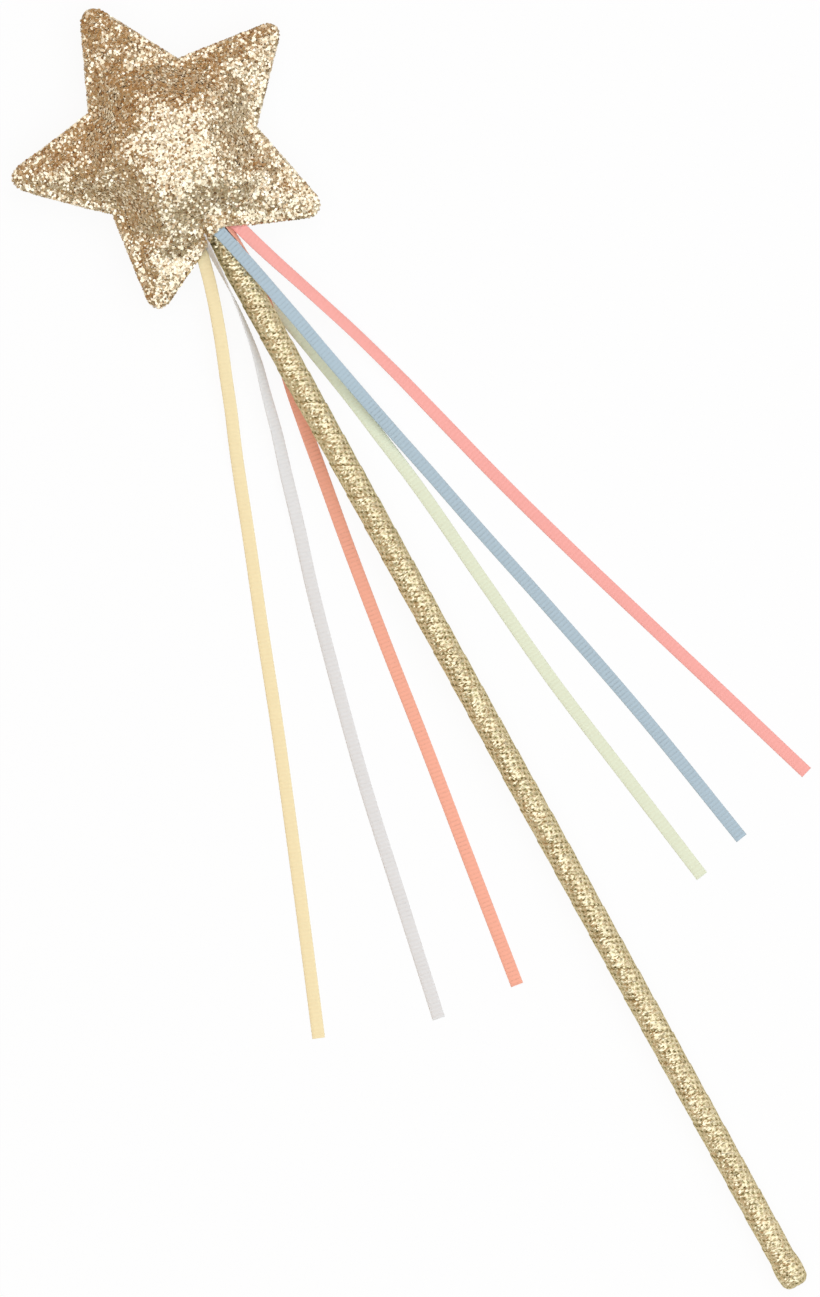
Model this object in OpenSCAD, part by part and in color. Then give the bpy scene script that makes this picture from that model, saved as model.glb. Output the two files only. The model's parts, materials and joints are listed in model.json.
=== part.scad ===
// Toy magic wand: a stuffed glitter star on a tape-wrapped stick, with six ribbons sewn in at the neck.
// It lies on its back as on a table. The stick runs along Y with the star at +Y, and +Z is up.

/* [Star] */
// From the star's centre to the rounded end of a point
star_tip_r = 40.5; // [36:0.5:46]
// From the star's centre to the bottom of a notch
star_notch_r = 22.4; // [20:0.2:25]
// From the star's centre to the notch that the stick comes out of
neck_notch_r = 24; // [21:0.2:26]
// Rounding radius of a point
star_tip_round = 3; // [2:0.1:4.5]
// Angle by which the star is sewn on askew
star_turn = 2.4; // [-4:0.2:4]
// Height of one panel's stuffed crown above the seam
star_crown = 10; // [8:0.25:13]
// Thickness of one panel at its sewn rim
rim_t = 1.2; // [1:0.05:1.6]
// Width of the flat rim that the seam leaves around the star
rim_w = 3; // [2:0.1:4]
// Thickness of the glitter fabric with its backing
fabric_t = 0.8; // [0.6:0.05:1]
// Depth to which the back lies flat on the table
belly_flat = 0.5; // [0.3:0.05:1]

/* [Stick] */
// Diameter of the dowel
dowel_d = 6; // [5:0.1:7]
// From the star's centre to the free end of the stick
stick_reach = 321.5; // [260:0.5:400]
// Length of dowel inside the star, past the neck
dowel_inset = 18; // [12:0.5:20]
// Length of tape inside the star, past the neck
tape_inset = 8; // [4:0.5:10]
// Thickness of the wrapping tape
tape_t = 0.22; // [0.15:0.01:0.4]
// Turns of tape along the stick
tape_turns = 24; // [12:1:24]
// Gap along the stick between one turn of tape and the next
tape_gap = 0.6; // [0.55:0.05:1.2]
// Length of the folded cup of tape that closes the free end
end_wrap_len = 7; // [5:0.5:12]
// Rounding of the free end
end_round = 0.8; // [0.4:0.1:1.5]

/* [Ribbons and thread] */
// Width of a ribbon
ribbon_w = 3.2; // [2.8:0.1:3.6]
// Thickness of a ribbon
ribbon_t = 0.4; // [0.3:0.05:0.5]
// Diameter of the seam thread
thread_d = 0.4; // [0.3:0.05:0.5]

/* [Clearances] */
// Clearance of soft pieces from what they lie against
soft_gap = 0.3; // [0.2:0.05:0.5]
// Clearance of glued pieces, and between the two panels at the seam
glue_gap = 0.04; // [0.02:0.01:0.1]

/* [Hidden] */
$fn = 64;
// How far a cut runs past what it cuts
overrun = 1;

// Stick: the tape's flats stand just clear of the round dowel
tape_rings = 24;
dowel_r = dowel_d / 2;
tape_in_r = dowel_r / cos(180 / tape_rings) + glue_gap;
stick_r = tape_in_r + tape_t;
dowel_start = neck_notch_r - dowel_inset;
dowel_end = stick_reach - tape_t - glue_gap;
end_wrap_start = stick_reach - end_wrap_len;
tape_start = neck_notch_r - tape_inset;
tape_end = end_wrap_start - tape_gap;
// Width left at the points where the tape is trimmed square to the stick
tape_point_w = 0.5;
tape_pitch = (tape_end - tape_start - tape_gap - 2 * tape_point_w) / (tape_turns - 1);
tape_w = tape_pitch - tape_gap;

// Lie: the star rests on its flattened back, and the stick slopes down to rest on its free end
seam_z = star_crown - belly_flat;
rest_reach = stick_reach - end_round;
stick_tilt = asin(seam_z / norm([rest_reach, stick_r])) - atan(stick_r / rest_reach);
neck_drop = neck_notch_r * sin(stick_tilt);

// Star outline
point_count = 5;
point_step = 360 / point_count;
neck_index = 2;
tip_arc_r = star_tip_r - star_tip_round;
// Places of the outline's points along an edge, closer together towards the notch
edge_shares = [0.4375, 0.75, 0.9375];

function tip_angle(k) = 90 + star_turn + k * point_step;
function notch_r(k) = k == neck_index ? neck_notch_r : star_notch_r;
function turned(p, a) = [p.x * cos(a) - p.y * sin(a), p.x * sin(a) + p.y * cos(a)];
function mirrored(points) = [for (i = [len(points) - 1:-1:0]) [points[i].x, -points[i].y]];
// One side of a point, from its rounded end to just short of the notch, with the point along +X
function point_side(r) =
    let (
        notch = r * [cos(point_step / 2), sin(point_step / 2)],
        to_notch = notch - [tip_arc_r, 0],
        bend = atan2(to_notch.y, to_notch.x) - acos(star_tip_round / norm(to_notch)),
        arc_end = [tip_arc_r, 0] + star_tip_round * [cos(bend), sin(bend)]
    )
    concat(
        [[tip_arc_r, 0] + star_tip_round * [cos(bend / 2), sin(bend / 2)], arc_end],
        [for (s = edge_shares) arc_end + s * (notch - arc_end)]
    );
function point_outline(k) =
    let (
        before = notch_r((k + point_count - 1) % point_count),
        after = notch_r(k)
    )
    concat(
        mirrored(point_side(before)),
        [[star_tip_r, 0]],
        point_side(after),
        [after * [cos(point_step / 2), sin(point_step / 2)]]
    );
outline = [for (k = [0:point_count - 1]) for (p = point_outline(k)) turned(p, tip_angle(k))];
columns = len(outline);
neck_column = (neck_index + 1) * columns / point_count - 1;

// Where the whole wand sits: the middle of its box is at X0 Y0
centre_x = (max([for (p = outline) p.x]) + min([for (p = outline) p.x])) / 2;
centre_y = (max([for (p = outline) p.y]) - stick_reach * cos(stick_tilt)) / 2;

// Panel: rings shrink from the outline to a round crown, and rise in a cushion's curve
side_end = point_side(star_notch_r)[1];
side_notch = star_notch_r * [cos(point_step / 2), sin(point_step / 2)];
edge_distance = abs(cross(side_end, side_notch)) / norm(side_end - side_notch);
rim_share = 1 - rim_w / edge_distance;
edge_share = 1 - rim_t / edge_distance / 2;
crown_shares = [0.18, 0.355, 0.52, 0.69, 0.85];
round_share = 0.9;
rise_power = 0.7;
blend_power = 4;
edge_t = rim_t / 2;
mean_r = (star_tip_r + star_notch_r) / 2;
// The panels swell over the stick at the neck
swell_w = stick_r + fabric_t;
function clamped(v) = min(1, max(0, v));
function plan(p, share) =
    let (w = round_share * (1 - share), r = norm(p))
    p * share * ((1 - w) * r + w * mean_r) / r;
function swell(p, side) =
    (stick_r + soft_gap + fabric_t - side * neck_drop - rim_t)
    * exp(-pow(p.x / swell_w, 2)) * clamped(-p.y / star_notch_r);
function panel_z(p, side, rise, limit) =
    let (dome = (star_crown - rim_t) * rise, over_stick = swell(p, side))
    min(limit, rim_t + pow(pow(dome, blend_power) + pow(over_stick, blend_power), 1 / blend_power));
function crown_rise(s) = pow(1 - s * s, rise_power);
function panel_ring(share, side, rise, limit, drop) = [
    for (p = outline) let (q = plan(p, share)) [q.x, q.y, panel_z(q, side, rise, limit) - drop]
];
function flat_ring(share, z) = [for (p = outline) let (q = plan(p, share)) [q.x, q.y, z]];
function crown_rings(side, limit, drop) = [
    for (s = crown_shares) panel_ring(s * rim_share, side, crown_rise(s), limit, drop)
];
function reversed(list) = [for (i = [len(list) - 1:-1:0]) list[i]];

// Seam thread: it runs just inside the seam and stops on each side of the stick
thread_share = 0.97;
thread_skip = 3;
thread_sides = 6;
thread_path = [
    for (i = [thread_skip:columns - thread_skip])
        let (q = plan(outline[(neck_column + i) % columns], rim_share * thread_share)) [q.x, q.y, seam_z]
];
thread_section = [
    for (i = [0:thread_sides - 1]) thread_d / 2 * [cos(i * 360 / thread_sides), sin(i * 360 / thread_sides)]
];

// Ribbons: places along each route as across, along and up from the star's centre on the table, then roll
pink_route = [
    [5.7, -26.4, 10.3, 10], [7.1, -31, 10.1, 8], [9.1, -37, 9.2, 18], [11.95, -45, 7.4, 26], [14.75, -53, 5.3, 28],
    [17.5, -61, 3.5, 28], [20.15, -69.5, 2.1, 26], [22.65, -78, 1.2, 20], [25.1, -87, 0.7, 12],
    [31.9, -112, 0.3, 0], [39.45, -137, 0.25, 0], [47.6, -162.5, 0.25, 0], [55.65, -187.5, 0.25, 0],
    [63.45, -211.9, 0.25, 0]
];
blue_route = [
    [0.85, -25.5, 12.9, 4], [2.45, -32, 12.7, 8], [4.25, -40, 12.1, 10], [5.5, -46, 11.2, 9], [7, -53, 9.7, 7],
    [8.8, -62, 7.3, 5], [10.8, -71.5, 4.7, 3], [12.8, -81, 2.7, 1], [15, -91, 1.4, 0], [17.5, -102, 0.6, 0],
    [20.2, -114.5, 0.25, 0], [27.25, -145.5, 0.25, 0], [34.8, -181, 0.25, 0], [41.45, -218.4, 0.25, 0]
];
green_route = [
    [-0.4, -25.5, 5.1, 0], [0.75, -32, 4.4, 0], [2, -38, 3.5, 0], [3.3, -44, 2.6, 0], [4.55, -50.5, 1.8, 0],
    [5.8, -57, 1.1, 0], [7.1, -64, 0.6, 0], [8.9, -74, 0.3, 0], [10.85, -87, 0.25, 0], [12.85, -100.5, 0.25, 0],
    [16.05, -131, 0.25, 0], [19.25, -161.5, 0.25, 0], [23.8, -192, 0.25, 0], [28.3, -221.9, 0.25, 0]
];
coral_route = [
    [3.4, -26, 10.7, -110], [3.85, -29, 9.9, -98], [4.05, -33, 8, -82], [3.45, -39.5, 5.8, -48], [2, -46, 4.4, -22],
    [0.4, -53, 3.4, -8], [-1.1, -60, 2.6, 0], [-2.5, -66.5, 1.9, 0], [-4.4, -77.5, 1, 0], [-6.1, -88.5, 0.45, 0],
    [-8.4, -103, 0.25, 0], [-12.4, -131, 0.25, 0], [-16.15, -160, 0.25, 0], [-20.5, -191, 0.25, 0],
    [-24.95, -223.4, 0.25, 0]
];
grey_route = [
    [-3.7, -26.8, 11.1, -64], [-3.9, -33, 10.8, -76], [-4.3, -40, 9.9, -93], [-5, -47.5, 8.7, -107],
    [-6.5, -56.5, 7, -125], [-8.7, -65, 5.3, -138], [-10.9, -74, 3.6, -149], [-14.1, -85, 1.9, -164],
    [-17.4, -97, 0.8, -175], [-21.4, -110.5, 0.3, -180], [-27.25, -133, 0.25, -180], [-33.85, -160.5, 0.25, -180],
    [-40, -191, 0.25, -180], [-46, -221.3, 0.25, -180]
];
yellow_route = [
    [-6.1, -28, 8.4, 0], [-7.6, -34, 8.1, 0], [-9.75, -41, 7.2, 0], [-12.35, -48.5, 5.9, 0], [-15.25, -56, 4.3, 0],
    [-18.45, -64.5, 2.6, 0], [-21.9, -73, 1.3, 0], [-25.3, -82, 0.5, 0], [-28.95, -92, 0.25, 0], [-37.6, -115, 0.25, 0],
    [-46.2, -138.5, 0.25, 0], [-55.4, -162.5, 0.25, 0], [-64.95, -187, 0.25, 0], [-74.5, -211.2, 0.25, 0]
];
// A ribbon's section, flat with eased edges
ease_share = 0.5;
ribbon_section = [
    for (c = [[1, -1, 0], [1, 1, 0], [1, 1, 1], [-1, 1, 1], [-1, 1, 0], [-1, -1, 0], [-1, -1, 1], [1, -1, 1]])
        [c[0] * (ribbon_w / 2 - c[2] * ribbon_t * ease_share),
         c[1] * ribbon_t / 2 * (c[2] == 1 ? 1 : ease_share)]
];
// Each root is cut along the seam that it leaves: the right edge of the neck, the left edge or straight across
neck_point = outline[neck_column];
function seam_normal(from) = let (e = (neck_point - from) / norm(neck_point - from)) [e.y, -e.x, 0];
right_seam = -seam_normal(outline[neck_column + thread_skip]);
left_seam = seam_normal(outline[neck_column - thread_skip]);
neck_front = [0, -1, 0];

function direction(path, i) =
    let (d = path[min(i + 1, len(path) - 1)] - path[max(i - 1, 0)]) d / norm(d);
function level_side(along) = let (u = cross(along, [0, 0, 1])) u / norm(u);
// A section set square to the path, rolled about it, and sheared along it where a root is cut at a slant
function section_ring(section, centre, along, roll, cut) =
    let (
        level = level_side(along),
        up = cross(level, along),
        wide = cos(roll) * level + sin(roll) * up,
        thick = cos(roll) * up - sin(roll) * level,
        slant = is_undef(cut) ? 0 : -(cut * wide) / (cut * along)
    )
    [for (s = section) centre + s.x * (wide + slant * along) + s.y * thick];
function swept(section, path, rolls, cut) = [
    for (i = [0:len(path) - 1])
        section_ring(section, path[i], direction(path, i), rolls[i], i == 0 ? cut : undef)
];

// Closed skin over a run of rings, with a pole at each end
module loft(rings, first_pole, last_pole) {
    n = len(rings[0]);
    last = len(rings) - 1;
    pole = len(rings) * n;
    function at(i, j) = i * n + j % n;
    polyhedron(
        points = concat([for (ring = rings) each ring], [first_pole, last_pole]),
        faces = concat(
            [for (j = [0:n - 1]) [pole, at(0, j + 1), at(0, j)]],
            [for (i = [0:last - 1]) for (j = [0:n - 1]) each [
                [at(i, j), at(i, j + 1), at(i + 1, j + 1)],
                [at(i, j), at(i + 1, j + 1), at(i + 1, j)]
            ]],
            [for (j = [0:n - 1]) [pole + 1, at(last, j), at(last, j + 1)]]
        ),
        convexity = point_count
    );
}

function middle(ring) = [for (k = [0:2]) let (v = [for (p = ring) p[k]]) (max(v) + min(v)) / 2];

// Places a piece drawn about the star's centre on the table
module placed() {
    translate([-centre_x, -centre_y, 0]) children();
}

// Turns a piece drawn along +Z onto the sloping stick, with the star's centre at zero
module on_stick() {
    placed() translate([0, 0, seam_z]) rotate([stick_tilt, 0, 0]) rotate([90, 0, 0]) children();
}

module dowel() {
    corner = end_round - (stick_r - dowel_r);
    color("burlywood") on_stick() rotate_extrude() polygon([
        [0, dowel_start], [dowel_r - end_round, dowel_start], [dowel_r, dowel_start + end_round],
        [dowel_r, dowel_end - corner], [dowel_r - corner, dowel_end], [0, dowel_end]
    ]);
}

// Tape rings: a flat strip wound left-handed, trimmed square at both ends
tape_travel = tape_end - tape_start + tape_w - 2 * tape_point_w;
tape_steps = round(tape_travel / tape_pitch * tape_rings);
function tape_ring(i) =
    let (
        mid = tape_start - tape_w / 2 + tape_point_w + tape_travel * i / tape_steps,
        lead = min(tape_end, mid + tape_w / 2),
        trail = max(tape_start, mid - tape_w / 2),
        a = -360 * i / tape_rings,
        spoke = [cos(a), sin(a), 0]
    )
    [
        tape_in_r * spoke + [0, 0, lead], stick_r * spoke + [0, 0, lead],
        stick_r * spoke + [0, 0, trail], tape_in_r * spoke + [0, 0, trail]
    ];
tape_path = [for (i = [0:tape_steps]) tape_ring(i)];
least_gap = min([
    for (i = [0:tape_steps - tape_rings]) for (j = [-2:2])
        let (k = min(tape_steps, i + tape_rings + j)) norm(tape_path[k][2] - tape_path[i][1])
]);
echo(least_gap_between_tape_turns = least_gap);

module stick_wrap() {
    color("darkgoldenrod") on_stick() loft(tape_path, middle(tape_path[0]), middle(tape_path[tape_steps]));
}

module end_wrap() {
    inner_r = dowel_r + glue_gap;
    floor_in = stick_reach - tape_t;
    corner = end_round - tape_t;
    color("goldenrod") on_stick() rotate_extrude() polygon([
        [inner_r, end_wrap_start], [stick_r, end_wrap_start], [stick_r, stick_reach - end_round],
        for (a = [30, 60]) [stick_r - end_round * (1 - cos(a)), stick_reach - end_round * (1 - sin(a))],
        [stick_r - end_round, stick_reach], [0, stick_reach], [0, floor_in],
        [inner_r - corner, floor_in], [inner_r, floor_in - corner]
    ]);
}

// One padded panel of the star, crown up: outer face, sewn rim, flat seam face, then the inner face
module panel(side, limit) {
    outer = concat(
        crown_rings(side, limit, 0),
        [panel_ring(rim_share, side, 0, limit, 0), panel_ring(edge_share, side, 0, limit, 0),
         panel_ring(1, side, 0, limit, edge_t)]
    );
    seam = [flat_ring(1, glue_gap), flat_ring(rim_share, glue_gap)];
    inner = reversed(crown_rings(side, limit, fabric_t));
    loft(concat(outer, seam, inner), [0, 0, limit], [0, 0, limit - fabric_t]);
}

module stick_passage(start) {
    on_stick() translate([0, 0, start]) cylinder(r = stick_r + soft_gap, h = star_tip_r + overrun);
}

module star_front() {
    color("tan") difference() {
        placed() translate([0, 0, seam_z]) panel(1, star_crown);
        stick_passage(dowel_start);
    }
}

module star_back() {
    color("tan") difference() {
        placed() translate([0, 0, seam_z]) mirror([0, 0, 1]) panel(-1, star_crown - belly_flat);
        stick_passage(dowel_start);
    }
}

module star_stuffing() {
    drop = fabric_t + soft_gap;
    top = crown_rings(1, star_crown, drop);
    under = [for (ring = crown_rings(-1, star_crown - belly_flat, drop)) [for (p = ring) [p.x, p.y, -p.z]]];
    color("whitesmoke") difference() {
        placed() translate([0, 0, seam_z]) loft(
            concat(top, reversed(under)), [0, 0, star_crown - drop], [0, 0, drop + belly_flat - star_crown]
        );
        stick_passage(dowel_start - soft_gap);
    }
}

module seam_thread() {
    rings = swept(thread_section, thread_path, [for (p = thread_path) 0]);
    color("tan") placed() loft(rings, thread_path[0], thread_path[len(thread_path) - 1]);
}

module ribbon(route, cut) {
    path = [for (r = route) [r[0], r[1], r[2]]];
    rings = swept(ribbon_section, path, [for (r = route) r[3]], cut);
    placed() loft(rings, path[0], path[len(path) - 1]);
}

module ribbon_pink() {
    color("lightpink") ribbon(pink_route, right_seam);
}

module ribbon_blue() {
    color("lightsteelblue") ribbon(blue_route, neck_front);
}

module ribbon_green() {
    color("honeydew") ribbon(green_route, neck_front);
}

module ribbon_coral() {
    color("lightsalmon") ribbon(coral_route, right_seam);
}

module ribbon_grey() {
    color("gainsboro") ribbon(grey_route, left_seam);
}

module ribbon_yellow() {
    color("palegoldenrod") ribbon(yellow_route, left_seam);
}

dowel();
stick_wrap();
end_wrap();
star_front();
star_back();
star_stuffing();
seam_thread();
ribbon_pink();
ribbon_blue();
ribbon_green();
ribbon_coral();
ribbon_grey();
ribbon_yellow();
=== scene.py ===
"""Toy magic wand: a stuffed glitter star on a tape-wrapped stick, with six ribbons sewn in at its neck.

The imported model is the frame. Every length is in metres, in the frame's own axes.
"""

import json
import math

import bpy
import numpy as np
from mathutils import Matrix, Vector, geometry, noise
from mathutils.bvhtree import BVHTree


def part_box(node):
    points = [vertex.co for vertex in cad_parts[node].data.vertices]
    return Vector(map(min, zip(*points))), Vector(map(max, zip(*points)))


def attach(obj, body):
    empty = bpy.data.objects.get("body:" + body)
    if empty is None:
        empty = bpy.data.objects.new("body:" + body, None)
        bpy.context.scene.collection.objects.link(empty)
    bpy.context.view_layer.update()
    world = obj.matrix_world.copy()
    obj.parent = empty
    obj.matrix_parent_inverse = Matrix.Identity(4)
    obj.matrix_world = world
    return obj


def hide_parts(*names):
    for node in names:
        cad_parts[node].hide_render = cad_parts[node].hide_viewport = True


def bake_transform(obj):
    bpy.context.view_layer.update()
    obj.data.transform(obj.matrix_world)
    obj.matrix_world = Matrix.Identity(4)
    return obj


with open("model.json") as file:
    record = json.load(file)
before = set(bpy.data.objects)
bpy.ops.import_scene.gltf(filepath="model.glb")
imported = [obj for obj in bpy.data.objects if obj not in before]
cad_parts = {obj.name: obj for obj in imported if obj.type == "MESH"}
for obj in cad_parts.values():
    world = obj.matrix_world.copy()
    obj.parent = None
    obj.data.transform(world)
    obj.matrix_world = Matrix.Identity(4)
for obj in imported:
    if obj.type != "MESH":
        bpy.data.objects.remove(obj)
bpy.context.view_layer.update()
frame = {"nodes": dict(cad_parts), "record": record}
MM = 0.001

# Places that the frame gives
MOUNTS = {m["name"]: m for m in frame["record"]["mounts"]}
STAR_SPOT = Vector(MOUNTS["rest_face"]["pos_m"])
SEAM_Z = (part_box("star_front")[0].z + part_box("star_back")[1].z) / 2
STAR_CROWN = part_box("star_front")[1].z - SEAM_Z
STICK_ALONG = Vector(MOUNTS["handle_end"]["axis"]).normalized()
STICK_SIDE = Vector((1, 0, 0))
STICK_UP = STICK_ALONG.cross(STICK_SIDE)
STICK_START = Vector((STAR_SPOT.x, STAR_SPOT.y, SEAM_Z))
STICK_R = MOUNTS["handle_end"]["dims"]["r_mm"] * MM
CUP_PAST_MOUNT = 4.5 * MM
STICK_END = (Vector(MOUNTS["handle_end"]["pos_m"]) - STICK_START).length + CUP_PAST_MOUNT

# Camera: the photograph is 820 by 1297 pixels, taken straight down
PHOTO_TALL_PX = 1297
PX_PER_MM = 4.033
PHOTO_TALL = PHOTO_TALL_PX / PX_PER_MM * MM
VIEW_TURN = math.radians(-28.86)
VIEW_CENTRE = Vector((-7.47, 3.11, 5)) * MM
CAMERA_HEIGHT = 3
CAMERA_FAR = 10
SENSOR = 36

# Star outline: lists go anticlockwise round the points, from the one nearest +Y, and angles are in degrees
STAR_POINTS = 5
STAR_TURN = 2.4
STAR_TIP_R = 39.9 * MM
STAR_TIP_ROUNDS = np.array([3, 3, 2.7, 3, 2.4]) * MM
STAR_TIP_LEANS = np.array([0, -1.6, 0.4, 0, -0.2])
TIP_ARC_SHARES = (0, 0.34, 0.67, 1)
STAR_NOTCH_R = 21.7 * MM
NECK_NOTCH_R = 23.4 * MM
NECK_NOTCH = 2

# Star panels
STAR_GRID = 1.4 * MM
GRID_CLEAR = 0.6 * STAR_GRID
STAR_MARGIN = 2.2 * MM
MARGIN_STEP = 0.8 * STAR_GRID
MARGIN_SLACK = 1.01
INSET_SLACK = 0.995
CORNER_FAN = 7
JOIN_WITHIN = 1e-7
ON_EDGE = 1e-6
RIM_T = 0.5 * MM
SEAM_T = 1.0 * MM
FABRIC_T = 0.45 * MM
BELLY_CLEAR = 0.65 * MM

# Stuffing: the cloth simulation runs on an enlarged copy
FILM_ROUNDS = 1500
FILM_POWER = 1.15
SIM_SCALE = 20
SIM_FRAMES = 24
SIM_START = 0.72
CLOTH_SETTINGS = {
    "quality": 6,
    "mass": 0.3,
    "tension_stiffness": 25,
    "compression_stiffness": 25,
    "shear_stiffness": 10,
    "bending_stiffness": 40,
    "use_pressure": True,
    "uniform_pressure_force": 6,
    "shrink_min": -0.015,
}
FULLNESS = 1.7
BODY_R = 20 * MM
BODY_FALL = 8
ARM_SAGS = np.array([3.5, 0.5, 0, 1, 3]) * MM
LUMP_SIZE = 13 * MM
LUMP_HEIGHT = 0.6 * MM
NECK_SWELL_W = 5.5 * MM
NECK_SWELL_X = 0.8 * MM
NECK_SWELL = 4.6 * MM
NECK_BLEND = 4
FIBRE_SHARES = np.array([0.8, 0.8, 0.76])
CHANNEL_CLEAR = 0.3 * MM
CHANNEL_LENGTH = 60 * MM
CHANNEL_MIDDLE = 35 * MM
CHANNEL_SIDES = 32

# Seam
STITCH_LENGTH = 2.4 * MM
STITCH_GAP = 0.7 * MM
STITCH_D = 0.32 * MM
STITCH_SIDES = 6
TRACK_STEP = 0.3 * MM

# Glitter
FLAKE_STEP = 0.63 * MM
FLAKE_R = 0.37 * MM
FLAKE_T = 0.06 * MM
FLAKE_LIFT = 0.1 * MM
FLAKE_TILT = 0.22
FLAKE_SIDES = 6
FLAKE_JITTER = FLAKE_STEP / 4
FLAKE_SCALES = (0.75, 1.25)
DUST_SIZE = 0.4 * MM
DUST_LEAN = 0.9
SEED = 7

# Stick tape
TAPE_PITCH = 8.9 * MM
TAPE_RIBS = 7
TAPE_RIB_ROWS = 4
TAPE_TURN_STEPS = 84
TAPE_DASH_STEPS = 5
TAPE_OVERLAP = 1.1 * MM
TAPE_T = 0.2 * MM
TAPE_RIB_H = 0.18 * MM
TAPE_DASH_LEAN = 0.3
TAPE_DASH_SHIFT = 0.38
TAPE_DASH_OPEN = 0.5
TAPE_DASH_LEAST = 0.15
TAPE_PRESS_LEAST = 0.3
TAPE_GROOVE_FALL = 2.4
TAPE_CLEAR = 0.02 * MM
TAPE_INNER_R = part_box("dowel")[1].x - STAR_SPOT.x + TAPE_CLEAR
TAPE_UNDER_R = TAPE_INNER_R - 0.01 * MM
TAPE_FIRST = 12 * MM
TAPE_TAIL = 2 * MM
TAPE_THREAD_LEAN = 0.95
# Share of the tape's colour from the height of its relief, which paints shade into the pressed dashes, and
# share from a random tone for each thread
TAPE_PAINTED_SHADE_SHARE = 0.72
TAPE_THREAD_SHARE = 0.28

# Cup over the stick's end
CUP_LENGTH = 7 * MM
CUP_R = STICK_R + 0.06 * MM
CUP_ROUND = 1.9 * MM
CUP_ROUND_ROWS = 8
CUP_SWELL = 0.2 * MM
CUP_STEPS = 84
CUP_GATHERS = 9
CUP_GATHER_SWAY = 2
CUP_FOLD = 0.12 * MM
CUP_FACE_SHARES = (0.8, 0.6, 0.4, 0.2, 0.05)
CUP_FACE_R = 0.9 * CUP_R

# Ribbons
RIBBON_W = 3.2 * MM
RIBBON_T = 0.4 * MM
RIB_PITCH = 1.08 * MM
RIB_STEPS = 6
RIB_WAIST = 0.03
RIB_DEPTH = 0.4
RIB_MEAN = 0.25
SELVAGE = 0.14
WEAVE_SHARE = 0.4
WEAVE_LIFT = 0.225
MOTTLE_SHARE = 0.25
RIBBON_DARK = 0.66
RIBBON_LIGHT = 1.06
ROOT_TUCK = 4 * MM

# Stage
TABLE_SIZE = 6
TABLE_DROP = 0.02 * MM
PAPER_GLOW = 0.92
LAMP_SIZE = 4.4
LAMP_WATTS = 57
LAMP_COLOUR = (0.88, 1.04, 1.24)
LAMP_SPOT = (0.95, -0.6, 1.9)
SURROUND_SIDES = ((0.8, 0.75, 0.6, 1), (1.0, 0.6, 0.3, 1))
SURROUND_STRENGTH = 0.53


def deselect():
    bpy.ops.object.select_all(action="DESELECT")


def make_active(piece):
    deselect()
    piece.select_set(True)
    bpy.context.view_layer.objects.active = piece


def mesh_piece(name, points, faces):
    """A new piece from points and faces, smooth shaded."""
    mesh = bpy.data.meshes.new(name)
    mesh.from_pydata([tuple(p) for p in points], [], faces)
    mesh.update()
    mesh.shade_smooth()
    piece = bpy.data.objects.new(name, mesh)
    bpy.context.scene.collection.objects.link(piece)
    return piece


def turned_over(faces):
    """The same faces, seen from their other side."""
    return [tuple(reversed(f)) for f in faces]


def take_shape(piece):
    """The points and faces of a piece, which is then removed."""
    points = np.array([tuple(v.co) for v in piece.data.vertices])
    faces = [tuple(f.vertices) for f in piece.data.polygons]
    bpy.data.objects.remove(piece)
    return points, faces


def give_values(piece, name, values):
    """One number for each vertex, under a name that a material can read."""
    attribute = piece.data.attributes.new(name, "FLOAT", "POINT")
    attribute.data.foreach_set("value", np.asarray(values, np.float32))


def give_uv(piece, uv):
    """A UV map from one pair of numbers for each vertex."""
    layer = piece.data.uv_layers.new(name="along")
    corner = np.zeros(len(piece.data.loops), np.int32)
    piece.data.loops.foreach_get("vertex_index", corner)
    layer.data.foreach_set("uv", np.asarray(uv, np.float32)[corner].ravel())


def apply_modifier(piece, kind, **settings):
    make_active(piece)
    modifier = piece.modifiers.new(kind.title(), kind)
    for key, value in settings.items():
        setattr(modifier, key, value)
    bpy.ops.object.modifier_apply(modifier=modifier.name)


def finish_piece(piece, material, slot, *nodes):
    """Gives a piece its material and its body, and hides the frame's nodes that it stands for."""
    piece.data.materials.clear()
    piece.data.materials.append(material)
    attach(piece, "wand")
    if nodes:
        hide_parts(*nodes)


def srgb(red, green, blue):
    """A colour written as it looks on screen, from 0 to 255, as linear light."""
    shares = [c / 255 for c in (red, green, blue)]
    return (*[s / 12.92 if s <= 0.04045 else ((s + 0.055) / 1.055) ** 2.4 for s in shares], 1)


# Camera
def set_camera():
    data = bpy.data.cameras.new("camera")
    data.sensor_width = SENSOR
    data.lens = SENSOR * (CAMERA_HEIGHT - VIEW_CENTRE.z) / PHOTO_TALL
    data.clip_end = CAMERA_FAR
    camera = bpy.data.objects.new("camera", data)
    camera.location = (VIEW_CENTRE.x, VIEW_CENTRE.y, CAMERA_HEIGHT)
    camera.rotation_euler = (0, 0, VIEW_TURN)
    bpy.context.scene.collection.objects.link(camera)
    bpy.context.scene.camera = camera
    bpy.context.scene.view_settings.view_transform = "Standard"


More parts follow.
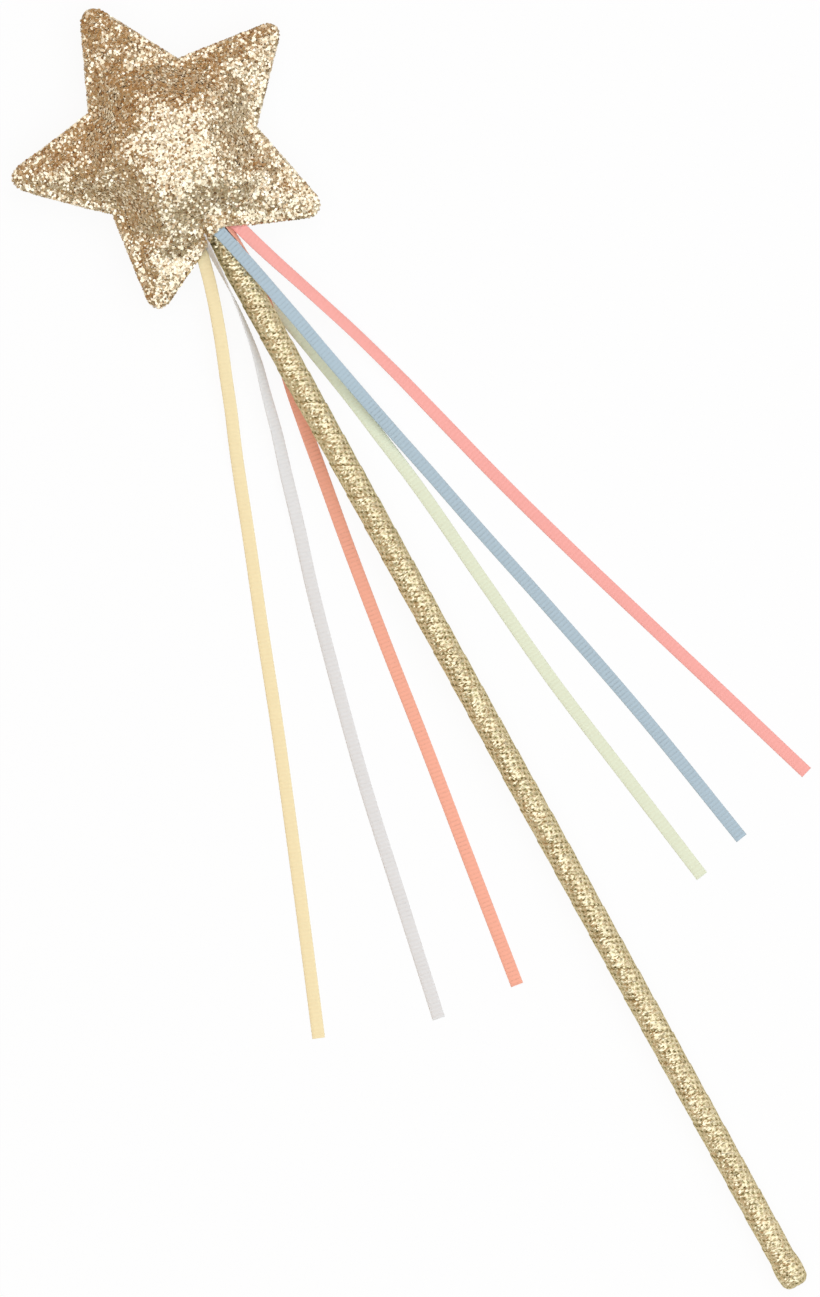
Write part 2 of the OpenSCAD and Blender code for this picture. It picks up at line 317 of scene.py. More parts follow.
# Materials
class Finish:
    """A material with a principled shader, and short ways to add nodes to it."""

    def __init__(self, name):
        self.material = bpy.data.materials.new(name)
        self.material.use_nodes = True
        self.nodes = self.material.node_tree.nodes
        self.links = self.material.node_tree.links
        self.shader = self.nodes["Principled BSDF"]

    def set(self, **sockets):
        for name, value in sockets.items():
            self.shader.inputs[name.replace("_", " ")].default_value = value

    def add(self, kind, inputs=None, **settings):
        node = self.nodes.new("ShaderNode" + kind)
        for key, value in settings.items():
            setattr(node, key, value)
        for key, value in (inputs or {}).items():
            if isinstance(value, bpy.types.NodeSocket):
                self.links.new(value, node.inputs[key])
            else:
                node.inputs[key].default_value = value
        return node

    def join(self, output, socket):
        self.links.new(output, self.shader.inputs[socket])

    def place(self):
        return self.add("TexCoord").outputs["Object"]

    def math(self, operation, first, second):
        return self.add("Math", {0: first, 1: second}, operation=operation).outputs[0]

    def off_middle(self, share):
        """How far a share lies from one half."""
        return self.math("ABSOLUTE", self.math("SUBTRACT", share, 0.5), 0)

    def ramp(self, factor, stops):
        node = self.add("ValToRGB", {"Fac": factor})
        band = node.color_ramp
        while len(band.elements) < len(stops):
            band.elements.new(1)
        for element, (at, colour) in zip(band.elements, stops):
            element.position = at
            element.color = colour
        return node.outputs["Color"]


def grosgrain(name, colour, rib_shading):
    """Ribbed ribbon with painted light and shade on its ribs, paler between them and darker on their
    crests, as strong as the number given for each ribbon, and a plain selvage.
    """
    finish = Finish(name)
    uv = finish.add("UVMap", uv_map="along").outputs["UV"]
    split = finish.add("SeparateXYZ", {0: uv})
    rib = finish.math("FRACT", split.outputs["Y"], 0)
    between = finish.math("SUBTRACT", finish.off_middle(rib), RIB_MEAN)
    ribbed = finish.math("LESS_THAN", finish.off_middle(split.outputs["X"]), 0.5 - SELVAGE)
    # painted rib light and shade: paler between the ribs, darker on their crests, none on the selvage
    line = finish.math("MULTIPLY", finish.math("MULTIPLY", between, ribbed), rib_shading)
    thread = finish.add("TexNoise", {"Vector": finish.place(), "Scale": 2600.0, "Detail": 2.0})
    mottle = finish.add("TexNoise", {"Vector": finish.place(), "Scale": 140.0, "Detail": 1.0})
    weave = finish.math("ADD", finish.math("MULTIPLY", thread.outputs["Fac"], WEAVE_SHARE), WEAVE_LIFT)
    shade = finish.math("ADD", line, weave)
    tone = finish.math("ADD", shade, finish.math("MULTIPLY", mottle.outputs["Fac"], MOTTLE_SHARE))
    # the dark and light ends carry the painted rib shade as well as the random weave and mottle
    dark = tuple(c * RIBBON_DARK for c in colour[:3]) + (1,)
    light = tuple(min(1, c * RIBBON_LIGHT) for c in colour[:3]) + (1,)
    finish.join(finish.ramp(tone, [(0.16, dark), (0.42, colour), (0.85, light)]), "Base Color")
    bump = finish.add("Bump", {"Height": thread.outputs["Fac"], "Strength": 0.25, "Distance": 0.06 * MM})
    finish.join(bump.outputs["Normal"], "Normal")
    finish.set(Roughness=0.72, Sheen_Weight=0.12, Sheen_Roughness=0.5)
    return finish.material


def tilted_cells(finish, place, lean):
    """Small flat cells that each lean their own way: (a number for each cell, the leaning normal)."""
    cells = finish.add("TexVoronoi", {"Vector": place, "Scale": 1.0})
    own = cells.outputs["Color"]
    centred = finish.add("VectorMath", {0: own, 1: (0.5, 0.5, 0.5)}, operation="SUBTRACT")
    scaled = finish.add("VectorMath", {0: centred.outputs[0], "Scale": lean}, operation="SCALE")
    flat = finish.add("NewGeometry").outputs["Normal"]
    lean_sum = finish.add("VectorMath", {0: scaled.outputs[0], 1: flat}, operation="ADD")
    normal = finish.add("VectorMath", {0: lean_sum.outputs[0]}, operation="NORMALIZE")
    number = finish.add("SeparateColor", {0: own}).outputs["Red"]
    return number, normal.outputs[0]


def flake_gold():
    """Loose glitter flakes, each with its own shade of champagne gold."""
    finish = Finish("flake_gold")
    tone = finish.add("Attribute", attribute_name="tone").outputs["Fac"]
    finish.join(finish.ramp(tone, FLAKE_SHADES), "Base Color")
    finish.set(Metallic=1.0, Roughness=0.22)
    return finish.material


def glitter_cloth():
    """The cloth between the flakes: finer glitter dust on a brown ground."""
    finish = Finish("glitter_cloth")
    dust = finish.add("VectorMath", {0: finish.place(), "Scale": 1 / DUST_SIZE}, operation="SCALE")
    number, normal = tilted_cells(finish, dust.outputs[0], DUST_LEAN)
    finish.join(finish.ramp(number, FLAKE_SHADES), "Base Color")
    finish.join(normal, "Normal")
    finish.set(Metallic=0.9, Roughness=0.36)
    return finish.material


def lame_tape(name):
    """Gold metal thread tape, with shade painted into its colour where its dashes are pressed in."""
    finish = Finish(name)
    uv = finish.add("UVMap", uv_map="along").outputs["UV"]
    stitch = finish.add("Mapping", {"Vector": uv, "Scale": (1.6, 3.0, 1.0), "Rotation": (0, 0, 0.3)})
    number, normal = tilted_cells(finish, stitch.outputs["Vector"], TAPE_THREAD_LEAN)
    high = finish.add("Attribute", attribute_name="high").outputs["Fac"]
    # low parts of the relief are painted darker: painted shade in the pressed dashes and grooves
    pressed = finish.math("MULTIPLY", high, TAPE_PAINTED_SHADE_SHARE)
    tone = finish.math("ADD", pressed, finish.math("MULTIPLY", number, TAPE_THREAD_SHARE))
    finish.join(finish.ramp(tone, TAPE_SHADES), "Base Color")
    finish.join(normal, "Normal")
    finish.set(Metallic=1.0, Roughness=0.43, Specular_Tint=(0.4, 0.37, 0.25, 1))
    return finish.material


def birch():
    """Plain dowel wood with its grain along the stick."""
    finish = Finish("birch")
    grain = finish.add("Mapping", {"Vector": finish.place(), "Scale": (900.0, 40.0, 900.0)})
    rings = finish.add("TexNoise", {"Vector": grain.outputs["Vector"], "Scale": 1.0, "Detail": 4.0})
    shades = [(0.3, srgb(196, 160, 112)), (0.7, srgb(224, 192, 146))]
    finish.join(finish.ramp(rings.outputs["Fac"], shades), "Base Color")
    finish.set(Roughness=0.6)
    return finish.material


def fibre_fill():
    """White polyester fibre."""
    finish = Finish("fibre_fill")
    wisp = {"Vector": finish.place(), "Scale": 900.0, "Detail": 6.0, "Distortion": 2.0}
    wisps = finish.add("TexNoise", wisp)
    shades = [(0.3, srgb(226, 226, 222)), (0.7, srgb(250, 250, 248))]
    finish.join(finish.ramp(wisps.outputs["Fac"], shades), "Base Color")
    bump = finish.add("Bump", {"Height": wisps.outputs["Fac"], "Strength": 0.6, "Distance": 0.4 * MM})
    finish.join(bump.outputs["Normal"], "Normal")
    finish.set(Roughness=0.95)
    return finish.material


def sewing_thread():
    """Matt twisted thread."""
    finish = Finish("sewing_thread")
    twist = finish.add("TexWave", {"Vector": finish.place(), "Scale": 900.0, "Distortion": 1.0})
    shades = [(0.2, srgb(160, 128, 80)), (0.8, srgb(206, 176, 124))]
    finish.join(finish.ramp(twist.outputs["Fac"], shades), "Base Color")
    finish.set(Roughness=0.7)
    return finish.material


FLAKE_SHADES = [
    (0.0, srgb(184, 152, 114)),
    (0.3, srgb(222, 205, 173)),
    (0.65, srgb(235, 220, 190)),
    (1.0, srgb(242, 229, 205)),
]
# Tape colours: the dark end is painted shade for the pressed dashes and grooves, the rest a random tone
# for each thread
TAPE_SHADES = [
    (0.15, srgb(112, 104, 62)),
    (0.5, srgb(182, 169, 122)),
    (0.75, srgb(236, 221, 180)),
    (1.0, srgb(250, 240, 208)),
]


# Ribbons: each place on a route is across, along and up from the star's centre on the table,
# then the roll in degrees
# Each ribbon's rib number sets how strongly the light and shade of its ribs are painted into its colour.
RIBBONS = {
    "pink": {
        "colour": srgb(248, 172, 163), "rib_shading": 0.3, "length": 0.199,
        "route": [
            (0.0057, -0.0264, 0.0103, 10), (0.0071, -0.031, 0.0101, 8), (0.0091, -0.037, 0.0092, 18),
            (0.01195, -0.045, 0.0074, 26), (0.01475, -0.053, 0.0053, 28), (0.0175, -0.061, 0.0035, 28),
            (0.02015, -0.0695, 0.0021, 26), (0.02265, -0.078, 0.0012, 20), (0.0251, -0.087, 0.0007, 12),
            (0.0319, -0.112, 0.0003, 0), (0.03945, -0.137, 0.00025, 0), (0.0476, -0.1625, 0.00025, 0),
            (0.05565, -0.1875, 0.00025, 0), (0.06345, -0.2119, 0.00025, 0),
        ],
    },
    "blue": {
        "colour": srgb(174, 194, 205), "rib_shading": 0.95, "length": 0.202,
        "route": [
            (0.00085, -0.0255, 0.0129, 4), (0.00245, -0.032, 0.0127, 8), (0.00425, -0.04, 0.0121, 10),
            (0.0055, -0.046, 0.0112, 9), (0.007, -0.053, 0.0097, 7), (0.0088, -0.062, 0.0073, 5),
            (0.0108, -0.0715, 0.0047, 3), (0.0128, -0.081, 0.0027, 1), (0.015, -0.091, 0.0014, 0),
            (0.0175, -0.102, 0.0006, 0), (0.0202, -0.1145, 0.00025, 0), (0.02725, -0.1455, 0.00025, 0),
            (0.0348, -0.181, 0.00025, 0), (0.04145, -0.2184, 0.00025, 0),
        ],
    },
    "green": {
        "colour": srgb(226, 232, 205), "rib_shading": 0.25, "length": 0.203,
        "route": [
            (-0.0004, -0.0255, 0.0051, 0), (0.00075, -0.032, 0.0044, 0), (0.002, -0.038, 0.0035, 0),
            (0.0033, -0.044, 0.0026, 0), (0.00455, -0.0505, 0.0018, 0), (0.0058, -0.057, 0.0011, 0),
            (0.0071, -0.064, 0.0006, 0), (0.0089, -0.074, 0.0003, 0), (0.01085, -0.087, 0.00025, 0),
            (0.01285, -0.1005, 0.00025, 0), (0.01605, -0.131, 0.00025, 0),
            (0.01925, -0.1615, 0.00025, 0), (0.0238, -0.192, 0.00025, 0), (0.0283, -0.2219, 0.00025, 0),
        ],
    },
    "coral": {
        "colour": srgb(248, 175, 149), "rib_shading": 0.8, "length": 0.205,
        "route": [
            (0.0034, -0.026, 0.0107, -110), (0.00385, -0.029, 0.0099, -98),
            (0.00405, -0.033, 0.008, -82), (0.00345, -0.0395, 0.0058, -48), (0.002, -0.046, 0.0044, -22),
            (0.0004, -0.053, 0.0034, -8), (-0.0011, -0.06, 0.0026, 0), (-0.0025, -0.0665, 0.0019, 0),
            (-0.0044, -0.0775, 0.001, 0), (-0.0061, -0.0885, 0.00045, 0), (-0.0084, -0.103, 0.00025, 0),
            (-0.0124, -0.131, 0.00025, 0), (-0.01615, -0.16, 0.00025, 0), (-0.0205, -0.191, 0.00025, 0),
            (-0.02495, -0.2234, 0.00025, 0),
        ],
    },
    "grey": {
        "colour": srgb(225, 224, 222), "rib_shading": 0.5, "length": 0.204,
        "route": [
            (-0.0037, -0.0268, 0.0111, -64), (-0.0039, -0.033, 0.0108, -76),
            (-0.0043, -0.04, 0.0099, -93), (-0.005, -0.0475, 0.0087, -107),
            (-0.0065, -0.0565, 0.007, -125), (-0.0087, -0.065, 0.0053, -138),
            (-0.0109, -0.074, 0.0036, -149), (-0.0141, -0.085, 0.0019, -164),
            (-0.0174, -0.097, 0.0008, -175), (-0.0214, -0.1105, 0.0003, -180),
            (-0.02725, -0.133, 0.00025, -180), (-0.03385, -0.1605, 0.00025, -180),
            (-0.04, -0.191, 0.00025, -180), (-0.046, -0.2213, 0.00025, -180),
        ],
    },
    "yellow": {
        "colour": srgb(245, 228, 181), "rib_shading": 0.3, "length": 0.2,
        "route": [
            (-0.0061, -0.028, 0.0084, 0), (-0.0076, -0.034, 0.0081, 0), (-0.00975, -0.041, 0.0072, 0),
            (-0.01235, -0.0485, 0.0059, 0), (-0.01525, -0.056, 0.0043, 0),
            (-0.01845, -0.0645, 0.0026, 0), (-0.0219, -0.073, 0.0013, 0), (-0.0253, -0.082, 0.0005, 0),
            (-0.02895, -0.092, 0.00025, 0), (-0.0376, -0.115, 0.00025, 0),
            (-0.0462, -0.1385, 0.00025, 0), (-0.0554, -0.1625, 0.00025, 0),
            (-0.06495, -0.187, 0.00025, 0), (-0.0745, -0.2112, 0.00025, 0),
        ],
    },
}
# A ribbon's section as shares of its half width and half thickness, once round
RIBBON_SECTION = np.array([
    (-1, -0.35), (-0.86, -1), (-0.3, -1), (0.3, -1), (0.86, -1), (1, -0.35),
    (1, 0.35), (0.86, 1), (0.3, 1), (-0.3, 1), (-0.86, 1), (-1, 0.35),
])


def smooth_route(route, step):
    """Rows of place and roll, a step apart, on one smooth curve through the points of a route."""
    rows = np.array(route, float)
    at = np.concatenate([[0], np.cumsum(np.linalg.norm(np.diff(rows[:, :3], axis=0), axis=1))])
    slope = np.gradient(rows, at, axis=0)
    fine = np.linspace(0, at[-1], round(at[-1] / step) + 1)
    k = np.clip(np.searchsorted(at, fine, side="right") - 1, 0, len(at) - 2)
    h = (at[k + 1] - at[k])[:, None]
    s = (fine[:, None] - at[k][:, None]) / h
    return (
        (2 * s**3 - 3 * s**2 + 1) * rows[k] + (s**3 - 2 * s**2 + s) * h * slope[k]
        + (3 * s**2 - 2 * s**3) * rows[k + 1] + (s**3 - s**2) * h * slope[k + 1]
    )


def ribbon_faces(rows, columns):
    """Quads round a ribbon, row by row, with its two cut ends."""
    faces = []
    for i in range(rows - 1):
        this, after = i * columns, (i + 1) * columns
        for j in range(columns):
            k = (j + 1) % columns
            faces.append((this + j, this + k, after + k, after + j))
    faces.append(tuple(reversed(range(columns))))
    faces.append(tuple((rows - 1) * columns + j for j in range(columns)))
    return faces


def lay_ribbon(name, colour, rib_shading, length, route):
    """One ribbon along its route, ribbed across, with its root tucked in under the star's rim."""
    first, second = np.array(route[0]), np.array(route[1])
    step = (second - first) / np.linalg.norm((second - first)[:3])
    tuck = first - step * ROOT_TUCK
    tuck[3] = first[3]
    rows = smooth_route([tuck, *route], RIB_PITCH / RIB_STEPS)
    centre = rows[:, :3] + np.array([STAR_SPOT.x, STAR_SPOT.y, 0])
    centre[:, 2] = np.maximum(centre[:, 2], RIBBON_T / 2)
    roll = np.radians(rows[:, 3])[:, None]
    along = np.gradient(centre, axis=0)
    along /= np.linalg.norm(along, axis=1)[:, None]
    level = np.cross(along, (0, 0, 1))
    level /= np.linalg.norm(level, axis=1)[:, None]
    up = np.cross(level, along)
    wide = np.cos(roll) * level + np.sin(roll) * up
    thick = np.cos(roll) * up - np.sin(roll) * level
    rib = np.sin(np.pi * (np.arange(len(rows)) % RIB_STEPS) / RIB_STEPS)[:, None]
    half_w = RIBBON_W / 2 * (1 - RIB_WAIST + RIB_WAIST * rib)
    half_t = RIBBON_T / 2 * (1 - RIB_DEPTH + RIB_DEPTH * rib)
    around = len(RIBBON_SECTION)
    points = np.stack([centre + half_w * a * wide + half_t * b * thick for a, b in RIBBON_SECTION], 1)
    count = len(rows)
    piece = mesh_piece("ribbon_strip_" + name, points.reshape(-1, 3), ribbon_faces(count, around))
    across = np.tile((RIBBON_SECTION[:, 0] + 1) / 2, count)
    ribs = np.repeat(np.arange(count) / RIB_STEPS, around)
    give_uv(piece, np.stack([across, ribs], 1))
    piece.data.materials.append(grosgrain("grosgrain_" + name, colour, rib_shading))
    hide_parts("ribbon_" + name)
    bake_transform(piece)


# Star
def straight(first, last, step):
    """Points from one place towards another, about a step apart, without the last place."""
    count = max(1, round(np.linalg.norm(last - first) / step))
    return [first + (last - first) * i / count for i in range(count)]


def star_outline(step):
    """The star's cut line about its own centre, anticlockwise from the notch before the first point."""
    half = math.radians(180 / STAR_POINTS)
    line = []
    for k in range(STAR_POINTS):
        tip_round = STAR_TIP_ROUNDS[k]
        corner = np.array([STAR_TIP_R - tip_round, 0])
        turn = math.radians(90 + STAR_TURN + 360 / STAR_POINTS * k)
        stretch = []
        for side, notch_of in ((-1, (k - 1) % STAR_POINTS), (1, k)):
            notch_r = NECK_NOTCH_R if notch_of == NECK_NOTCH else STAR_NOTCH_R
            notch = notch_r * np.array([math.cos(half), math.sin(half)])
            run = notch - corner
            bend = math.atan2(run[1], run[0]) - math.acos(tip_round / np.linalg.norm(run))
            arc = []
            for share in TIP_ARC_SHARES:
                arc.append(corner + tip_round * np.array([math.cos(bend * share), math.sin(bend * share)]))
            edge = arc[:-1] + straight(arc[-1], notch, step)
            mirror = np.array([1, side])
            if side < 0:
                stretch += [notch * mirror] + [p * mirror for p in reversed(edge)]
            else:
                stretch += edge[1:]
        for point in stretch:
            reach = np.clip((np.linalg.norm(point) - STAR_NOTCH_R) / (STAR_TIP_R - STAR_NOTCH_R), 0, 1)
            lean = math.radians(STAR_TIP_LEANS[k]) * reach
            line.append(Matrix.Rotation(turn + lean, 2) @ Vector(point))
    return np.array(line)


def edge_distance(points, line):
    """Distance of each point from a closed line."""
    first, last = line, np.roll(line, -1, axis=0)
    run = last - first
    share = ((points[:, None] - first) * run).sum(2) / (run * run).sum(1)
    near = first + np.clip(share, 0, 1)[..., None] * run
    return np.linalg.norm(points[:, None] - near, axis=2).min(1)


def inside(points, line):
    """Which points lie inside a closed line."""
    first, last = line, np.roll(line, -1, axis=0)
    x, y = points[:, :1], points[:, 1:]
    crossed = (first[:, 1] > y) != (last[:, 1] > y)
    with np.errstate(divide="ignore", invalid="ignore"):
        meet = first[:, 0] + (y - first[:, 1]) * (last[:, 0] - first[:, 0]) / (last[:, 1] - first[:, 1])
    return (crossed & (x < meet)).sum(1) % 2 == 1


def honeycomb(line, step, clear):
    """Points in staggered rows inside a closed line, clear of it."""
    low, high = line.min(0), line.max(0)
    rows = []
    for i, y in enumerate(np.arange(low[1], high[1], step * math.sqrt(0.75))):
        x = np.arange(low[0] + (i % 2) * step / 2, high[0], step)
        rows.append(np.stack([x, np.full_like(x, y)], 1))
    points = np.concatenate(rows)
    points = points[inside(points, line)]
    return points[edge_distance(points, line) > clear]


def inset_line(line, depth, step):
    """A line inside a closed one, at a steady depth, with its points about a step apart."""
    ahead = np.roll(line, -1, axis=0) - line
    ahead /= np.linalg.norm(ahead, axis=1)[:, None]
    inward = np.stack([-ahead[:, 1], ahead[:, 0]], 1)
    found = []
    for i, corner in enumerate(line):
        for share in np.linspace(0, 1, CORNER_FAN):
            way = inward[i - 1] + (inward[i] - inward[i - 1]) * share
            found.append(corner + depth * way / np.linalg.norm(way))
    found = np.array(found)
    found = found[edge_distance(found, line) > INSET_SLACK * depth]
    kept = [found[0]]
    for point in found[1:]:
        if np.linalg.norm(point - kept[-1]) > step and np.linalg.norm(point - kept[0]) > step:
            kept.append(point)
    return np.array(kept)


def cut_panel():
    """One flat star panel: (points in plan, triangles, distance of each point from the cut line)."""
    line = star_outline(STAR_GRID)
    margin = inset_line(line, STAR_MARGIN, MARGIN_STEP)
    filling = honeycomb(line, STAR_GRID, GRID_CLEAR)
    filling = filling[edge_distance(filling, margin) > GRID_CLEAR]
    spread = np.concatenate([line, margin, filling])
    edges = [(i, (i + 1) % len(line)) for i in range(len(line))]
    found = geometry.delaunay_2d_cdt([Vector(p) for p in spread], edges, [], 1, JOIN_WITHIN)
    plan = np.array([tuple(v) for v in found[0]])
    triangles = [tuple(f) for f in found[2]]
    return plan, triangles, edge_distance(plan, line)


def margin_height(distance):
    """Height of the margin above the seam's plane: thin at the cut edge, thicker at the seam."""
    return RIM_T + (SEAM_T - RIM_T) * np.clip(distance / STAR_MARGIN, 0, 1)


def pillow_rise(plan, triangles, free):
    """How far each point of a stuffed panel rises, from 0 at the seam to 1 at the crown.

    The panel is taken as a film that is blown up from flat.
    """
    pairs = np.array([(f[a], f[(a + 1) % 3]) for f in triangles for a in range(3)])
    pairs = np.concatenate([pairs, pairs[:, ::-1]])
    weight = np.bincount(pairs[:, 0], minlength=len(plan))
    film = np.zeros(len(plan))
    for _ in range(FILM_ROUNDS):
        film = np.bincount(pairs[:, 0], film[pairs[:, 1]], len(plan)) / weight + 1
        film[~free] = 0
    return (film / film.max()) ** FILM_POWER


def pillow_faces(plan, triangles, distance):
    """Faces of a closed pillow: the front panel, the back panel and the wall round their edge."""
    count = len(plan)
    rim = np.flatnonzero(distance < ON_EDGE)
    rim = [int(i) for i in rim[np.argsort(np.arctan2(plan[rim, 1], plan[rim, 0]))]]
    wall = [(a, b, b + count, a + count) for a, b in zip(rim[1:] + rim[:1], rim)]
    back = [tuple(i + count for i in f) for f in turned_over(triangles)]
    return triangles + back + wall


def blow_up(plan, triangles, distance):
    """Simulates the two sewn panels, blown up by their stuffing: (front points, back points)."""
    free = distance > MARGIN_SLACK * STAR_MARGIN
    rise = pillow_rise(plan, triangles, free)
    height = margin_height(distance) + SIM_START * (STAR_CROWN - SEAM_T) * rise
    count = len(plan)
    front = np.column_stack([plan, height]) * SIM_SCALE
    back = np.column_stack([plan, -height]) * SIM_SCALE
    pillow = mesh_piece("pillow", np.concatenate([front, back]), pillow_faces(plan, triangles, distance))
    held = pillow.vertex_groups.new(name="held")
    held.add([i for i in range(2 * count) if not free[i % count]], 1, "REPLACE")
    cloth = pillow.modifiers.new("Cloth", "CLOTH")
    cloth.point_cache.frame_start = 1
    cloth.point_cache.frame_end = SIM_FRAMES
    for key, value in CLOTH_SETTINGS.items():
        setattr(cloth.settings, key, value)
    cloth.settings.vertex_group_mass = held.name
    cloth.settings.effector_weights.gravity = 0
    for at in range(1, SIM_FRAMES + 1):
        bpy.context.scene.frame_set(at)
    make_active(pillow)
    bpy.ops.object.modifier_apply(modifier=cloth.name)
    moved = np.zeros(6 * count)
    pillow.data.vertices.foreach_get("co", moved)
    bpy.context.scene.frame_set(1)
    bpy.data.objects.remove(pillow)
    moved = moved.reshape(-1, 3) / SIM_SCALE
    return moved[:count], moved[count:]


def settle(shape, side, distance):
    """Fills out one blown-up panel, opens its neck over the stick, lays it flat and lets its arms hang."""
    margin = margin_height(distance)
    rise = np.clip((side * shape[:, 2] - margin) / (np.abs(shape[:, 2]).max() - SEAM_T), 0, 1)
    reach = np.linalg.norm(shape[:, :2], axis=1)
    body = 1 / (1 + (reach / BODY_R) ** BODY_FALL)
    height = margin + (STAR_CROWN - SEAM_T) * (1 - (1 - rise) ** (1 + (FULLNESS - 1) * body))
    soft = np.clip((distance - STAR_MARGIN) / STAR_MARGIN, 0, 1)
    lumps = np.array([noise.noise(Vector((p[0], p[1], side * LUMP_SIZE)) / LUMP_SIZE) for p in shape])
    height += soft * LUMP_HEIGHT * lumps
    neck = NECK_SWELL * np.exp(-(((shape[:, 0] - NECK_SWELL_X) / NECK_SWELL_W) ** 2))
    neck = neck * np.clip(-shape[:, 1] / STAR_NOTCH_R, 0, 1)
    height = (height**NECK_BLEND + neck**NECK_BLEND) ** (1 / NECK_BLEND)
    if side < 0:
        height = np.minimum(height, SEAM_Z - BELLY_CLEAR)
    settled = shape.copy()
    turn = np.degrees(np.arctan2(shape[:, 1], shape[:, 0])) - 90 - STAR_TURN
    arm = np.round(turn * STAR_POINTS / 360).astype(int) % STAR_POINTS
    hang = np.clip((reach - BODY_R) / (STAR_TIP_R - BODY_R), 0, 1) ** 2
    settled[:, 2] = side * height - ARM_SAGS[arm] * hang
    return settled + np.array([STAR_SPOT.x, STAR_SPOT.y, SEAM_Z])


def surface_of(piece):
    """A piece's surface, as a tree that can be searched."""
    points = [v.co for v in piece.data.vertices]
    return BVHTree.FromPolygons(points, [tuple(f.vertices) for f in piece.data.polygons])


def on_surface(tree, spot, side):
    """Where a panel lies above or below a place in plan: (point, outward normal)."""
    start = Vector((spot[0] + STAR_SPOT.x, spot[1] + STAR_SPOT.y, SEAM_Z + side * 2 * STAR_CROWN))
    point, normal, _, _ = tree.ray_cast(start, Vector((0, 0, -side)))
    if point is None:
        point, normal, _, _ = tree.find_nearest(start - Vector((0, 0, side * 2 * STAR_CROWN)))
    return np.array(point), np.array(normal) * (1 if normal.z * side > 0 else -1)


def flake_shape():
    """One six-sided flake, modelled flat about zero: (points, faces)."""
    deselect()
    bpy.ops.mesh.primitive_circle_add(vertices=FLAKE_SIDES, radius=FLAKE_R, fill_type="NGON")
    flake = bpy.context.object
    bpy.ops.object.mode_set(mode="EDIT")
    bpy.ops.mesh.select_all(action="SELECT")
    bpy.ops.mesh.extrude_region_move(TRANSFORM_OT_translate={"value": (0, 0, FLAKE_T)})
    bpy.ops.mesh.select_all(action="SELECT")
    bpy.ops.mesh.normals_make_consistent(inside=False)
    bpy.ops.object.mode_set(mode="OBJECT")
    return take_shape(flake)


def turned_to(normals, spins):
    """A turn for each normal that lays a flat shape square to it, spun about it."""
    up = normals / np.linalg.norm(normals, axis=1)[:, None]
    aside = np.cross(up, np.where(np.abs(up[:, :1]) < 0.9, (1.0, 0, 0), (0, 1.0, 0)))
    aside /= np.linalg.norm(aside, axis=1)[:, None]
    ahead = np.cross(up, aside)
    c, s = np.cos(spins)[:, None], np.sin(spins)[:, None]
    return np.stack([c * aside + s * ahead, c * ahead - s * aside, up], 2)


def copies(name, shape, turns, places, scales):
    """One piece that holds a copy of a shape at each place."""
    points, faces = shape
    every = (turns @ (points.T[None] * scales[:, None, None])).transpose(0, 2, 1) + places[:, None]
    offset = len(points)
    all_faces = [tuple(i + k * offset for i in f) for k in range(len(places)) for f in faces]
    piece = mesh_piece(name, every.reshape(-1, 3), all_faces)
    piece.data.shade_flat()
    return piece


def strew_flakes(name, tree, side, line, shape, chance):
    """Glitter on one panel: a loose honeycomb of leaning flakes, and a row of them along its edge."""
    spots = honeycomb(line, FLAKE_STEP, FLAKE_R / 2)
    spots = spots + chance.normal(0, FLAKE_JITTER, spots.shape)
    seats = [on_surface(tree, spot, side) for spot in spots]
    places = np.array([p for p, _ in seats])
    normals = np.array([n for _, n in seats])
    edge = star_outline(FLAKE_STEP)
    out = np.roll(edge, -1, axis=0) - edge
    out = np.stack([out[:, 1], -out[:, 0], np.full(len(edge), side * FLAKE_STEP)], 1)
    rim = np.array([on_surface(tree, spot, side)[0] for spot in edge])
    rim[:, 2] -= side * RIM_T / 2
    places = np.concatenate([places, rim])
    normals = np.concatenate([normals, out / np.linalg.norm(out, axis=1)[:, None]])
    leaning = normals + chance.normal(0, FLAKE_TILT, normals.shape)
    turns = turned_to(leaning, chance.uniform(0, 2 * math.pi, len(places)))
    scales = chance.uniform(*FLAKE_SCALES, len(places))
    piece = copies(name, shape, turns, places + FLAKE_LIFT * normals, scales)
    give_values(piece, "tone", np.repeat(chance.uniform(0, 1, len(places)), len(shape[0])))
    return piece


def stitch_shape():
    """One stitch of thread along X, its ends turned down into the cloth: (points, faces)."""
    deselect()
    bpy.ops.mesh.primitive_cylinder_add(
        vertices=STITCH_SIDES, radius=STITCH_D / 2, depth=STITCH_LENGTH, rotation=(0, math.pi / 2, 0)
    )
    stitch = bpy.context.object
    bpy.ops.object.transform_apply(rotation=True)
    bpy.ops.object.mode_set(mode="EDIT")
    for cut in (STITCH_LENGTH / 4, -STITCH_LENGTH / 4):
        bpy.ops.mesh.select_all(action="SELECT")
        bpy.ops.mesh.bisect(plane_co=(cut, 0, 0), plane_no=(1, 0, 0))
    bpy.ops.object.mode_set(mode="OBJECT")
    points, faces = take_shape(stitch)
    points[:, 2] -= STITCH_D * (2 * points[:, 0] / STITCH_LENGTH) ** 4
    return points, faces


